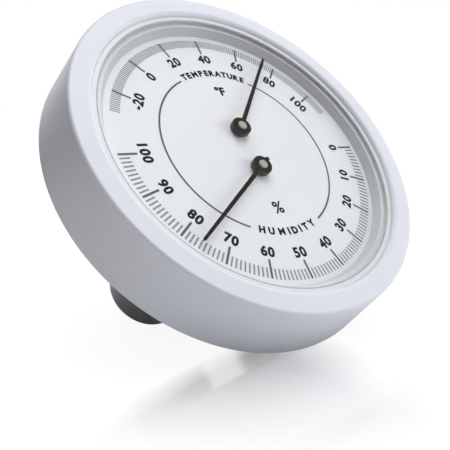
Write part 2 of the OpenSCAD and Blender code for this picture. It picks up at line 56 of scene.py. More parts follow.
def lean_back(x, y, z):
    """Takes x to the right, y up the dial and z out of the dial, in mm, and leans them back: the
    dial's up axis turns from vertical by LEAN, and the rim's centre goes to its place above the
    ground. The points come back in metres."""
    x, y, z = np.broadcast_arrays(x, y, z)
    up = np.array([0.0, math.sin(LEAN), math.cos(LEAN)])
    out = np.array([0.0, -math.cos(LEAN), math.sin(LEAN)])
    across = np.array([1.0, 0.0, 0.0])
    points = x[..., None] * across + y[..., None] * up + z[..., None] * out
    return (points + FACE_CENTRE) / 1000


def soft_profile(corners, steps=10):
    """An outline from corners (radius, level, rounding): each corner with a rounding becomes an arc
    that touches both its sides, at equal turns from one side to the other. A guard point just
    beyond each end of an arc keeps the shading of the flat beside it flat."""
    corners = np.array(corners, float)
    here, before, after = corners[:, :2], np.roll(corners[:, :2], 1, 0), np.roll(corners[:, :2], -1, 0)
    to_before = (before - here) / np.linalg.norm(before - here, axis=1, keepdims=True)
    to_after = (after - here) / np.linalg.norm(after - here, axis=1, keepdims=True)
    half = np.arccos(np.clip((to_before * to_after).sum(1), -1, 1)) / 2
    middle = to_before + to_after
    middle /= np.maximum(np.linalg.norm(middle, axis=1, keepdims=True), 1e-9)
    outline = []
    share = np.linspace(0, 1, steps + 1)[:, None]
    sides = zip(here, to_before, to_after, middle, half, corners[:, 2])
    for corner, back, ahead, inward, angle, radius in sides:
        if radius == 0:
            outline.append(corner[None])
            continue
        centre = corner + inward * radius / math.sin(angle)
        start = corner + back * radius / math.tan(angle) - centre
        end = corner + ahead * radius / math.tan(angle) - centre
        turn = math.pi - 2 * angle
        arc = centre + (start * np.sin((1 - share) * turn) + end * np.sin(share * turn)) / math.sin(turn)
        guard = radius / 12
        outline.append(np.vstack([arc[:1] + back * guard, arc, arc[-1:] + ahead * guard]))
    return np.vstack(outline)


def to_mesh(name, points, faces, crease=35):
    """One object from points in metres and faces. Points that coincide, as at a pole, are merged,
    faces are turned outwards, and edges sharper than the crease angle stay sharp."""
    mesh = bpy.data.meshes.new(name)
    mesh.from_pydata(points.reshape(-1, 3), [], faces)
    work = bmesh.new()
    work.from_mesh(mesh)
    bmesh.ops.remove_doubles(work, verts=work.verts, dist=1e-7)
    bmesh.ops.dissolve_degenerate(work, edges=work.edges, dist=1e-8)
    bmesh.ops.recalc_face_normals(work, faces=work.faces)
    work.to_mesh(mesh)
    work.free()
    mesh.polygons.foreach_set("use_smooth", np.ones(len(mesh.polygons), bool))
    mesh.set_sharp_from_angle(angle=math.radians(crease))
    piece = bpy.data.objects.new(name, mesh)
    bpy.context.scene.collection.objects.link(piece)
    return piece


def skin(rings, closed):
    """Faces between rings of points, from how many rings there are and how many points each has: a
    point joins its neighbour in the ring and the same two points of the next ring. Closed joins the
    last ring to the first, as in a hoop, and open fills the first and the last ring."""
    count, around = rings
    row = np.arange(count if closed else count - 1)[:, None] * around
    one, two = np.arange(around), np.roll(np.arange(around), -1)
    following = (row + around) % (count * around)
    quads = np.stack([row + one, row + two, following + two, following + one], -1).reshape(-1, 4).tolist()
    if not closed:
        quads += [list(range(around)), list(range((count - 1) * around, count * around))]
    return quads


def lathe(name, profile, centre=(0, 0), turns=288):
    """A turned piece: each profile point (radius, level) is carried round the axis through centre
    by equal angles, and the rings that result are skinned."""
    angle = np.linspace(0, 2 * np.pi, turns, endpoint=False)
    radius, level = profile[:, :1], profile[:, 1:]
    x, y = centre[0] + radius * np.cos(angle), centre[1] + radius * np.sin(angle)
    points = lean_back(x, y, level + 0 * angle)
    return to_mesh(name, points, skin(points.shape[:2], True))


def node_step(tree, kind, feeds=None, **settings):
    """Adds one node to a tree. Feeds gives the value of each input, or the socket that drives it."""
    node = tree.nodes.new(kind)
    for key, value in settings.items():
        setattr(node, key, value)
    for key, value in (feeds or {}).items():
        if isinstance(value, bpy.types.NodeSocket):
            tree.links.new(value, node.inputs[key])
        else:
            node.inputs[key].default_value = value
    return node


def new_group(name, values, outputs):
    """An empty node group with a colour input, number inputs with their defaults, and outputs."""
    group = bpy.data.node_groups.new(name, "ShaderNodeTree")
    group.interface.new_socket("Colour", in_out="INPUT", socket_type="NodeSocketColor")
    for label, value in values.items():
        socket = group.interface.new_socket(label, in_out="INPUT", socket_type="NodeSocketFloat")
        socket.default_value = value
    for label, kind in outputs.items():
        group.interface.new_socket(label, in_out="OUTPUT", socket_type=kind)
    return group, group.nodes.new("NodeGroupInput"), group.nodes.new("NodeGroupOutput")


def moulded_surface_group():
    """The skin of a moulding or of a paint: a fine grain from the tool, a slow drift in colour where
    the plastic flowed, and a roughness that follows the grain."""
    group, given, made = new_group("moulded_surface",
                                   {"Grain Scale": 3500.0, "Grain Depth": 0.00001, "Drift": 0.03,
                                    "Roughness": 0.4, "Roughness Spread": 0.08},
                                   {"Colour": "NodeSocketColor", "Roughness": "NodeSocketFloat",
                                    "Normal": "NodeSocketVector"})
    place = node_step(group, "ShaderNodeTexCoord").outputs["Object"]
    grain = node_step(group, "ShaderNodeTexNoise",
                      {"Vector": place, "Scale": given.outputs["Grain Scale"], "Detail": 3.0,
                       "Roughness": 0.6})
    flow = node_step(group, "ShaderNodeTexNoise",
                     {"Vector": place, "Scale": 38.0, "Detail": 2.0, "Roughness": 0.5})
    shade = node_step(group, "ShaderNodeMapRange",
                      {"Value": flow.outputs["Fac"], "From Min": 0.3, "From Max": 0.7, "To Min": 1.0})
    darker = node_step(group, "ShaderNodeMath", {0: 1.0, 1: given.outputs["Drift"]}, operation="SUBTRACT")
    group.links.new(darker.outputs[0], shade.inputs["To Max"])
    tint = node_step(group, "ShaderNodeVectorMath", {0: given.outputs["Colour"], "Scale": shade.outputs[0]},
                     operation="SCALE")
    centred = node_step(group, "ShaderNodeMath", {0: grain.outputs["Fac"], 1: 0.5}, operation="SUBTRACT")
    rough = node_step(group, "ShaderNodeMath",
                      {0: centred.outputs[0], 1: given.outputs["Roughness Spread"],
                       2: given.outputs["Roughness"]}, operation="MULTIPLY_ADD")
    relief = node_step(group, "ShaderNodeBump",
                       {"Strength": 1.0, "Distance": given.outputs["Grain Depth"],
                        "Height": grain.outputs["Fac"]})
    group.links.new(tint.outputs[0], made.inputs["Colour"])
    group.links.new(rough.outputs[0], made.inputs["Roughness"])
    group.links.new(relief.outputs[0], made.inputs["Normal"])
    return group


moulded_surface = moulded_surface_group()


def finish_with(name, group, colour, values, **shader_values):
    """A material: its Principled BSDF takes colour, roughness and normal from a surface group with
    these values, and keeps its own constants on its sockets."""
    material = bpy.data.materials.new(name)
    material.use_nodes = True
    tree = material.node_tree
    shader = tree.nodes["Principled BSDF"]
    surface = node_step(tree, "ShaderNodeGroup", node_tree=group)
    surface.inputs["Colour"].default_value = (*colour, 1.0)
    for label, value in values.items():
        surface.inputs[label].default_value = value
    tree.links.new(surface.outputs["Colour"], shader.inputs["Base Color"])
    tree.links.new(surface.outputs["Roughness"], shader.inputs["Roughness"])
    tree.links.new(surface.outputs["Normal"], shader.inputs["Normal"])
    for label, value in shader_values.items():
        shader.inputs[label.replace("_", " ")].default_value = value
    return material


def dress(piece, material, body=None, stands_for=()):
    """Gives a piece its material and the body that it rides on, and hides the nodes that it stands for."""
    piece.data.materials.clear()
    piece.data.materials.append(material)
    if body:
        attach(piece, body)
    if stands_for:
        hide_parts(*stands_for)


def wall_r(level):
    """Outer radius of the side wall: it grows evenly from the face to the rear edge."""
    return face_r + (rear_r - face_r) * level / case_back


case_plastic = finish_with("case_plastic", moulded_surface, (0.715, 0.73, 0.80),
                           {"Grain Scale": 2600.0, "Grain Depth": 0.000006, "Drift": 0.025,
                            "Roughness": 0.36, "Roughness Spread": 0.10}, IOR=1.46, Coat_Weight=0.12,
                           Coat_Roughness=0.18)
case_skin = lathe("case_skin", soft_profile([
    (opening_r, lens_front, 0), (opening_r, 0, lip_round), (face_r, 0, face_round),
    (rear_r, case_back, rear_round), (wall_r(case_back) - wall, case_back, inner_round),
    (wall_r(lens_front) - wall, lens_front, inner_round + 0.1)]), turns=360)
dress(case_skin, case_plastic, "case", ["case_shell"])
for number, turn in enumerate(np.radians([0, 90, 180, 270])):
    boss = lathe(f"case_boss_{number}", soft_profile([
        (0, boss_back + boss_grip, 0), (boss_hole_r, boss_back + boss_grip, 0),
        (boss_hole_r, boss_back, 0.1), (boss_r, boss_back, 0.2), (boss_r, lens_front, 0),
        (0, lens_front, 0)], 4),
        (boss_circle * math.cos(turn), boss_circle * math.sin(turn)), 48)
    dress(boss, case_plastic, "case")

# Glass, seals and inner flange. A clear disc, with a white border printed on its back, lies against
# the rim's lip from behind on a rubber ring; the border's white is painted light that lifts the shaded
# seam under the lip. A low light bead runs along the lip in front of it, with a grey line of sealant
# at its inner edge that is painted shade of the gap there. A moulded cone holds the glass off the
# dial: its slope is painted a darker grey than the moulding, as the shade under the lip, and its
# ledge is painted white, as the light on it.

lens_back, flange_front, dial_face, stack_r = -3.1, -3.5, -6.5, 56.6
seal_w, ledge_r, cone_foot_r = 1.4, 52.2, 50.4
bead_r, bead_front, line_r, line_front = 54.0, -1.45, 53.5, -1.7
ledge_t, border_r, border_edge_r, border_t = 0.4, 53.3, stack_r - 0.1, 0.04
lip_gap, border_gap, seal_gap = 0.05, 0.005, 0.05
border_front, seal_front = lens_back - border_gap, lens_back - seal_gap

lens_glass = bpy.data.materials.new("lens_glass")
lens_glass.use_nodes = True
glass_tree = lens_glass.node_tree
glass = glass_tree.nodes["Principled BSDF"]
glass.inputs["Base Color"].default_value = (0.985, 0.99, 0.995, 1.0)
glass.inputs["Transmission Weight"].default_value = 1.0
glass.inputs["IOR"].default_value = 1.46
smear = node_step(glass_tree, "ShaderNodeTexNoise",
                  {"Vector": node_step(glass_tree, "ShaderNodeTexCoord").outputs["Object"], "Scale": 60.0,
                   "Detail": 4.0})
polish = node_step(glass_tree, "ShaderNodeMapRange", {"Value": smear.outputs["Fac"], "From Min": 0.35,
                                                      "From Max": 0.8, "To Min": 0.0, "To Max": 0.03})
glass_tree.links.new(polish.outputs[0], glass.inputs["Roughness"])
clear = node_step(glass_tree, "ShaderNodeBsdfTransparent", {"Color": (0.97, 0.975, 0.98, 1.0)})
ray = node_step(glass_tree, "ShaderNodeLightPath")
straight = node_step(glass_tree, "ShaderNodeMath",
                     {0: ray.outputs["Is Shadow Ray"], 1: ray.outputs["Is Diffuse Ray"]},
                     operation="MAXIMUM")
through = node_step(glass_tree, "ShaderNodeMixShader", {0: straight.outputs[0], 1: glass.outputs[0],
                                                        2: clear.outputs[0]})
glass_tree.links.new(through.outputs[0], glass_tree.nodes["Material Output"].inputs["Surface"])

window = lathe("window_glass", soft_profile([
    (0, lens_back, 0), (stack_r, lens_back, 0.25), (stack_r, lens_front, 0.25), (0, lens_front, 0)], 4))
dress(window, lens_glass, "case", ["lens"])

# One grey serves both the rubber seal and the grey line along the bead, which is painted shade.
seal_rubber = finish_with("seal_rubber", moulded_surface, (0.44, 0.445, 0.46),
                          {"Grain Scale": 5000.0, "Grain Depth": 0.000008, "Drift": 0.08,
                           "Roughness": 0.62, "Roughness Spread": 0.1}, IOR=1.5)
seal = lathe("window_seal", soft_profile([
    (stack_r - seal_w, seal_front, 0.1), (stack_r, seal_front, 0), (stack_r, flange_front, 0),
    (stack_r - seal_w, flange_front, 0.1)], 5))
dress(seal, seal_rubber, "case", ["lens_gasket"])

bead_sealant = finish_with("bead_sealant", moulded_surface, (0.73, 0.74, 0.77),
                           {"Grain Scale": 4000.0, "Grain Depth": 0.000006, "Drift": 0.04,
                            "Roughness": 0.45, "Roughness Spread": 0.1}, IOR=1.45)
bead = lathe("window_bead", soft_profile([
    (bead_r, lens_front, 0), (opening_r - lip_gap, lens_front, 0), (opening_r - lip_gap, bead_front, 0.1),
    (bead_r, bead_front, 0.25)], 6), turns=360)
# Painted shade: the grey line stands for the shaded gap at the bead's inner edge.
line = lathe("window_shade_line", soft_profile([
    (line_r, lens_front, 0), (bead_r, lens_front, 0), (bead_r, line_front, 0),
    (line_r, line_front, 0.08)], 4), turns=360)
# Painted light: the border is white so that the seam under the lip, which lies in shade, shows lighter.
border_print = finish_with("border_print", moulded_surface, (0.90, 0.905, 0.92),
                           {"Grain Scale": 6000.0, "Grain Depth": 0.000002, "Drift": 0.05,
                            "Roughness": 0.5, "Roughness Spread": 0.1}, IOR=1.45)
border = lathe("window_border", soft_profile([
    (border_r, border_front - border_t, 0), (border_edge_r, border_front - border_t, 0),
    (border_edge_r, border_front, 0), (border_r, border_front, 0)], 4), turns=360)
for piece, material in ((bead, bead_sealant), (line, seal_rubber), (border, border_print)):
    dress(piece, material)
    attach(piece, "case")

# Painted shade: the cone's slope is a darker grey than the moulding's own pale colour, for the shade that
# the lip casts on it.
flange_plastic = finish_with("flange_plastic", moulded_surface, (0.60, 0.61, 0.64),
                             {"Grain Scale": 2600.0, "Grain Depth": 0.000004, "Drift": 0.03,
                              "Roughness": 0.3, "Roughness Spread": 0.1}, IOR=1.46)
flange = lathe("cone_ring", soft_profile([
    (stack_r, flange_front - ledge_t, 0), (ledge_r, flange_front - ledge_t, 0.1),
    (cone_foot_r, dial_face, 0.15), (stack_r, dial_face, 0)], 5))
dress(flange, flange_plastic, "case", ["inner_flange"])
# Painted light: the ledge is near white, lighter than the cone of the same moulding, for the light and
# glints along it.
ledge_white = finish_with("ledge_white", moulded_surface, (0.88, 0.89, 0.91),
                          {"Grain Scale": 2600.0, "Grain Depth": 0.000004, "Drift": 0.03, "Roughness": 0.4,
                           "Roughness Spread": 0.1}, IOR=1.46)
ledge = lathe("cone_ledge", soft_profile([
    (stack_r, flange_front, 0), (ledge_r, flange_front, 0.15), (ledge_r, flange_front - ledge_t, 0),
    (stack_r, flange_front - ledge_t, 0)], 5))
dress(ledge, ledge_white)
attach(ledge, "case")

# Dial. A white enamelled plate with two scales printed on it in grey and black: degrees over the
# top and per cent of humidity round the bottom, each with a tick for every unit, and a thin ring.

pivot_y, print_t = 8.0, 0.03
ring_r, ring_w, ring_gap, print_turn = 32.2, 0.65, 26.5, 1.8
thermometer_inner, thermometer_outer, hygrometer_inner, hygrometer_outer = 45.1, 48.4, 45.4, 48.9
mark_l, mark_w, number_r, number_h, number_weight, number_spread = 3.0, 0.75, 39.6, 3.8, 0.045, 1.12
thermometer_zero, thermometer_step, hygrometer_zero, hygrometer_step = -38.4, 1.0033, 92.7, 1.7885


def box_mesh(low_x, high_x, low_y, high_y, turn):
    """Thin printed bars: each is a box from low to high, x across and y outwards, turned clockwise
    from the dial's top by its own angle, and print_t thick on the dial's face."""
    sizes = np.broadcast_arrays(low_x, high_x, low_y, high_y, turn)
    low_x, high_x, low_y, high_y, turn = (size[:, None] for size in sizes)
    right = np.array([0, 1, 1, 0, 0, 1, 1, 0])
    outward = np.array([0, 0, 1, 1, 0, 0, 1, 1])
    raised = np.array([0, 0, 0, 0, 1, 1, 1, 1])
    x, y = low_x + (high_x - low_x) * right, low_y + (high_y - low_y) * outward
    turned_x, turned_y = x * np.cos(turn) + y * np.sin(turn), y * np.cos(turn) - x * np.sin(turn)
    points = lean_back(turned_x, turned_y, dial_face + print_t * raised)
    sides = np.array([[3, 2, 1, 0], [4, 5, 6, 7], [0, 1, 5, 4], [1, 2, 6, 5], [2, 3, 7, 6], [3, 0, 4, 7]])
    return points.reshape(-1, 3), (np.arange(len(x))[:, None, None] * 8 + sides).reshape(-1, 4).tolist()


def printed_ticks(name, values, step, zero_turn, inner, outer, weight):
    """Ticks of one scale, one for each value and step degrees apart: bars of one weight that run
    from the inner to the outer radius."""
    turn = np.radians(zero_turn + values * step)
    points, faces = box_mesh(-weight / 2, weight / 2, inner, outer, turn)
    return to_mesh(name, points, faces, 20)


def letters(text, height, weight, spread):
    """Outlines of a word as flat solid shapes: the points (x, y, level) and the faces. The word is
    centred on zero, and its capitals are `height` tall."""
    curve = bpy.data.curves.new("outline", "FONT")
    curve.body, curve.offset, curve.extrude, curve.space_character = text, weight, 0.5, spread
    curve.resolution_u = 3
    shape = bpy.data.objects.new("outline", curve)
    bpy.context.scene.collection.objects.link(shape)
    mesh = bpy.data.meshes.new_from_object(shape.evaluated_get(bpy.context.evaluated_depsgraph_get()))
    points = np.empty(len(mesh.vertices) * 3, np.float32)
    mesh.vertices.foreach_get("co", points)
    points = points.reshape(-1, 3)
    faces = [list(face.vertices) for face in mesh.polygons]
    bpy.data.objects.remove(shape)
    bpy.data.curves.remove(curve)
    bpy.data.meshes.remove(mesh)
    low, high = points.min(0), points.max(0)
    points[:, :2] = (points[:, :2] - (low + high)[:2] / 2) * height / (high - low)[1]
    return points, faces


def printed_words(name, words, radius, turns, height, weight, spread, tops_in=False):
    """Words set on the dial, each centred at its radius and its angle clockwise from the top, with
    its top away from the centre, or towards the centre if tops_in. An M alone is drawn thinner, so
    that its strokes stay apart."""
    all_points, all_faces, count = [], [], 0
    for text, reach, turn in zip(words, np.broadcast_to(radius, len(words)), np.radians(turns)):
        shape, faces = letters(text, height, weight * (0.4 if text == "M" else 1.0), spread)
        x, y = (-shape[:, 0], -shape[:, 1]) if tops_in else (shape[:, 0], shape[:, 1])
        y = y + reach
        all_points.append(lean_back(x * np.cos(turn) + y * np.sin(turn),
                                    y * np.cos(turn) - x * np.sin(turn),
                                    dial_face + print_t * (shape[:, 2] + 0.5)))
        all_faces += [[point + count for point in face] for face in faces]
        count += len(shape)
    return to_mesh(name, np.vstack(all_points), all_faces, 20)


def arc_word(name, text, radius, centre_turn, half_span, height, weight, tops_in=False):
    """A word bent along an arc: its letters share the span in proportion to how wide each one is."""
    wide = np.array([{"I": 0.45, "M": 1.25, "E": 0.9}.get(letter, 1.0) for letter in text])
    middle = np.cumsum(wide) - wide / 2
    turns = centre_turn + (2 * middle / wide.sum() - 1) * half_span * (-1 if tops_in else 1)
    return printed_words(name, list(text), radius, turns, height, weight, 1.0, tops_in)


def ring_arc(name, centre_turn, half_span):
    """One half of the thin printed ring: a flat band of even width along an arc."""
    turn = np.radians(np.linspace(centre_turn - half_span, centre_turn + half_span, 181))[:, None]
    side = np.array([-0.5, 0.5, 0.5, -0.5]) * ring_w
    level = np.array([0.0, 0.0, 1.0, 1.0]) * print_t
    points = lean_back((ring_r + side) * np.sin(turn), (ring_r + side) * np.cos(turn),
                       dial_face + level + 0 * turn)
    return to_mesh(name, points, skin(points.shape[:2], False), 20)


dial_enamel = finish_with("dial_enamel", moulded_surface, (0.875, 0.882, 0.91),
                          {"Grain Scale": 900.0, "Grain Depth": 0.000002, "Drift": 0.02, "Roughness": 0.42,
                           "Roughness Spread": 0.08}, IOR=1.45)
dress(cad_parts["dial_plate"], dial_enamel)

ink_values = {"Grain Scale": 6000.0, "Grain Depth": 0.000002, "Drift": 0.15, "Roughness": 0.55,
              "Roughness Spread": 0.1}
black_ink = finish_with("black_ink", moulded_surface, (0.022, 0.022, 0.024), ink_values, IOR=1.45,
                        Specular_IOR_Level=0.1)
grey_ink = finish_with("grey_ink", moulded_surface, (0.13, 0.13, 0.145), ink_values, IOR=1.45,
                       Specular_IOR_Level=0.2)
pale_ink = finish_with("pale_ink", moulded_surface, (0.32, 0.325, 0.35), ink_values, IOR=1.45,
                       Specular_IOR_Level=0.2)

thermometer_marked, hygrometer_marked = np.arange(-20, 101, 20), np.arange(0, 101, 10)
thermometer_fine = np.setdiff1d(np.arange(-30, 111), thermometer_marked)
hygrometer_fine = np.setdiff1d(np.arange(0, 101), hygrometer_marked)
upright, inverted = print_turn, print_turn + 180
prints = [
    (printed_ticks("thermometer_ticks", thermometer_fine, thermometer_step, thermometer_zero,
                   thermometer_inner, thermometer_outer, 0.42), pale_ink),
    (printed_ticks("hygrometer_ticks", hygrometer_fine, hygrometer_step, hygrometer_zero,
                   hygrometer_inner, hygrometer_outer, 0.56), pale_ink),
    (printed_ticks("thermometer_marks", thermometer_marked, thermometer_step, thermometer_zero,
                   thermometer_inner - mark_l, thermometer_outer, mark_w), grey_ink),
    (printed_ticks("hygrometer_marks", hygrometer_marked, hygrometer_step, hygrometer_zero,
                   hygrometer_inner - mark_l, hygrometer_outer, mark_w), grey_ink),
    (printed_words("thermometer_numbers", [str(value) for value in thermometer_marked], number_r,
                   thermometer_zero + thermometer_marked * thermometer_step,
                   number_h, number_weight, number_spread), black_ink),
    (printed_words("hygrometer_numbers", [str(value) for value in hygrometer_marked], number_r,
                   hygrometer_zero + hygrometer_marked * hygrometer_step,
                   number_h, number_weight, number_spread, True), black_ink),
    (printed_words("unit_degrees", ["°F"], 25.0, [upright], 3.9, 0.05, 1.0), black_ink),
    (printed_words("unit_per_cent", ["%"], 23.1, [inverted], 4.5, 0.02, 1.0, True), black_ink),
    (arc_word("word_temperature", "TEMPERATURE", 33.1, upright, 24.2, 2.65, 0.06), black_ink),
    (arc_word("word_humidity", "HUMIDITY", 31.9, inverted, 22.3, 2.7, 0.058, True), black_ink),
    (ring_arc("ring_left", upright + 270, 90 - ring_gap), grey_ink),
    (ring_arc("ring_right", upright + 90, 90 - ring_gap), grey_ink),
]
for piece, ink in prints:
    piece.data.materials.append(ink)
    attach(piece, "case")

# Pointers. Each is a blade of thin steel in olive black lacquer on a round hub, pressed onto its
# spindle, with a small turned cap of bare metal over the spindle's end. The cap's tumbled skin
# scatters much of the light, so it isn't fully metallic.

hub_r, hub_back, hub_front, blade_back, blade_t = 3.5, -6.125, -3.925, -4.525, 0.4
cap_r, cap_h, cap_sink, bore_r = 1.6, 0.45, 0.12, 0.81
tail_l, nose_l, shoulder_l = 4.6, 0.35, 0.8
tail_half, root_half, tip_half, nose_half, point_half = 0.55, 0.80, 0.54, 0.32, 0.03


def blade(name, pivot, turn, length, tail):
    """A flat blade: a six-sided section, flat with bevelled top edges, carried from the tail through
    the axis to the tip. Its half width shrinks evenly from the hub and closes in the last stretch."""
    along = np.concatenate([[-tail, -tail + nose_l],
                            np.linspace(-tail + shoulder_l, length - shoulder_l, 40),
                            [length - nose_l, length]])
    half = np.interp(along, [-tail, -tail + nose_l, hub_r, length - shoulder_l, length - nose_l, length],
                     [tail_half, root_half, root_half, tip_half, nose_half, point_half])[:, None]
    across = half * np.array([-1.0, 1.0, 1.0, 0.72, -0.72, -1.0])
    level = blade_back + blade_t * np.array([0.0, 0.0, 0.6, 1.0, 1.0, 0.6])
    angle = math.radians(turn)
    x = across * math.cos(angle) + along[:, None] * math.sin(angle)
    y = along[:, None] * math.cos(angle) - across * math.sin(angle)
    points = lean_back(x, y + pivot, level)
    return to_mesh(name, points, skin(points.shape[:2], False), 25)


pointer_lacquer = finish_with("pointer_lacquer", moulded_surface, (0.024, 0.022, 0.013),
                              {"Grain Scale": 5200.0, "Grain Depth": 0.000003, "Drift": 0.1,
                               "Roughness": 0.16, "Roughness Spread": 0.08}, IOR=1.5)


def turned_surface_group():
    """Metal from the lathe or the press: fine tool lines round the axis of the Mapping node that
    feeds Place, a cloudy tarnish, and a roughness that follows both."""
    group, given, made = new_group(
        "turned_surface", {"Line Scale": 900.0, "Line Depth": 0.000004, "Tarnish": 0.2, "Roughness": 0.3},
        {"Colour": "NodeSocketColor", "Roughness": "NodeSocketFloat", "Normal": "NodeSocketVector"})
    group.interface.new_socket("Place", in_out="INPUT", socket_type="NodeSocketVector")
    lines = node_step(group, "ShaderNodeTexWave",
                      {"Vector": given.outputs["Place"], "Scale": given.outputs["Line Scale"],
                       "Distortion": 1.2, "Detail": 2.0, "Detail Scale": 0.4}, wave_type="RINGS",
                      rings_direction="Z")
    cloud = node_step(group, "ShaderNodeTexNoise",
                      {"Vector": given.outputs["Place"], "Scale": 320.0, "Detail": 4.0})
    amount = node_step(group, "ShaderNodeMath", {0: cloud.outputs["Fac"], 1: given.outputs["Tarnish"]},
                       operation="MULTIPLY")
    clean = node_step(group, "ShaderNodeMath", {0: 1.0, 1: amount.outputs[0]}, operation="SUBTRACT")
    tint = node_step(group, "ShaderNodeVectorMath", {0: given.outputs["Colour"], "Scale": clean.outputs[0]},
                     operation="SCALE")
    both = node_step(group, "ShaderNodeMath", {0: lines.outputs["Fac"], 1: 0.12, 2: amount.outputs[0]},
                     operation="MULTIPLY_ADD")
    rough = node_step(group, "ShaderNodeMath", {0: both.outputs[0], 1: given.outputs["Roughness"]},
                      operation="ADD")
    relief = node_step(group, "ShaderNodeBump",
                       {"Strength": 1.0, "Distance": given.outputs["Line Depth"],
                        "Height": lines.outputs["Fac"]})
    group.links.new(tint.outputs[0], made.inputs["Colour"])
    group.links.new(rough.outputs[0], made.inputs["Roughness"])
    group.links.new(relief.outputs[0], made.inputs["Normal"])
    return group


turned_surface = turned_surface_group()


def turned_metal(name, colour, values, pivot, **shader_values):
    """A metal whose tool lines run round the axis through the pivot: a Mapping node brings that
    point of the dial to zero and lays the axis along Z."""
    material = finish_with(name, turned_surface, colour, values, Metallic=1.0, **shader_values)
    tree = material.node_tree
    place = node_step(tree, "ShaderNodeMapping",
                      {"Vector": node_step(tree, "ShaderNodeTexCoord").outputs["Object"],
                       "Location": lean_back(0.0, float(pivot), dial_face),
                       "Rotation": (math.pi / 2 - LEAN, 0.0, 0.0)}, vector_type="TEXTURE")
    surface = next(node for node in tree.nodes if node.type == "GROUP")
    tree.links.new(place.outputs[0], surface.inputs["Place"])
    return material


needles = {"thermometer": (pivot_y, 41.7, 41.4), "hygrometer": (-pivot_y, 236.9, 42.4)}
for element, (pivot, turn, length) in needles.items():
    body = f"{element}_needle"
    arm = blade(f"{element}_blade", pivot, turn, length, tail_l)
    dress(arm, pointer_lacquer, body, [f"{element}_pointer"])
    hub = lathe(f"{element}_hub", soft_profile([
        (bore_r, hub_back, 0), (hub_r - 0.25, hub_back, 0.1), (hub_r, hub_back + 0.25, 0.1),
        (hub_r, hub_front, 0.35), (cap_r + 0.35, hub_front, 0.08),
        (cap_r + 0.3, hub_front - cap_sink, 0.08), (bore_r, hub_front - cap_sink, 0)], 6),
        (0, pivot), 144)
    dress(hub, pointer_lacquer, body)
    cap_metal = turned_metal(f"cap_metal_{element}", (0.92, 0.88, 0.87),
                             {"Line Scale": 700.0, "Line Depth": 0.000004, "Tarnish": 0.12,
                              "Roughness": 0.62}, pivot)
    cap_metal.node_tree.nodes["Principled BSDF"].inputs["Metallic"].default_value = 0.7
    cap = lathe(f"{element}_button", soft_profile([
        (0, hub_front - cap_sink, 0), (cap_r, hub_front - cap_sink, 0.05),
        (cap_r, hub_front + cap_h * 0.75, 0.3), (0, hub_front + cap_h, 0)], 6), (0, pivot), 96)
    dress(cap, cap_metal, body, [f"{element}_cap"])

# Movements. Behind the dial a black moulded plate carries both elements: a brass bush, spindle,
# collet, adjuster and bridge for each, and its coil, a thin strip that winds up with heat or damp.

coil_front, coil_back, coil_inner, coil_pitch, coil_turns, strip_t = -11.6, -14.8, 2.175, 0.85, 5, 0.35


def coil(name, pivot, start):
    """A flat spiral strip: the radius grows by one pitch each turn, and an upright oblong section
    is carried along it."""
    turn = np.linspace(0, coil_turns, coil_turns * 72 + 1)[:, None]
    radius = coil_inner + coil_pitch * turn + np.array([-0.5, 0.5, 0.5, -0.5]) * strip_t
    level = np.array([coil_back, coil_back, coil_front, coil_front]) + 0 * turn
    angle = np.radians(start) + 2 * np.pi * turn
    points = lean_back(radius * np.cos(angle), pivot + radius * np.sin(angle), level)
    return to_mesh(name, points, skin(points.shape[:2], False), 40)


movement_plastic = finish_with("movement_plastic", moulded_surface, (0.045, 0.046, 0.05),
                               {"Grain Scale": 2200.0, "Grain Depth": 0.00001, "Drift": 0.12,
                                "Roughness": 0.5, "Roughness Spread": 0.12}, IOR=1.5)
dress(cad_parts["movement_plate"], movement_plastic)
for element, (pivot, _, _) in needles.items():
    brass = turned_metal(f"brass_{element}", (0.62, 0.46, 0.20),
                         {"Line Scale": 420.0, "Line Depth": 0.000005, "Tarnish": 0.3, "Roughness": 0.26},
                         pivot)
    steel = turned_metal(f"spindle_steel_{element}", (0.56, 0.56, 0.57),
                         {"Line Scale": 500.0, "Line Depth": 0.000003, "Tarnish": 0.15, "Roughness": 0.22},
                         pivot)
    strip = turned_metal(f"coil_strip_{element}", (0.50, 0.44, 0.37),
                         {"Line Scale": 160.0, "Line Depth": 0.000004, "Tarnish": 0.25, "Roughness": 0.3},
                         pivot)
    for part in ("bush", "bridge", "adjuster", "collet"):
        dress(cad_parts[f"{element}_{part}"], brass)
    dress(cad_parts[f"{element}_spindle"], steel)
    winding = coil(f"{element}_winding", pivot, 90 if pivot > 0 else 270)
    dress(winding, strip, f"{element}_setting", [f"{element}_coil"])

# Screws, washers, rivets and hanger. Pressed and headed steel with bright zinc plating: faint
# rolling lines along the sheet and a crystalline bloom in the zinc.


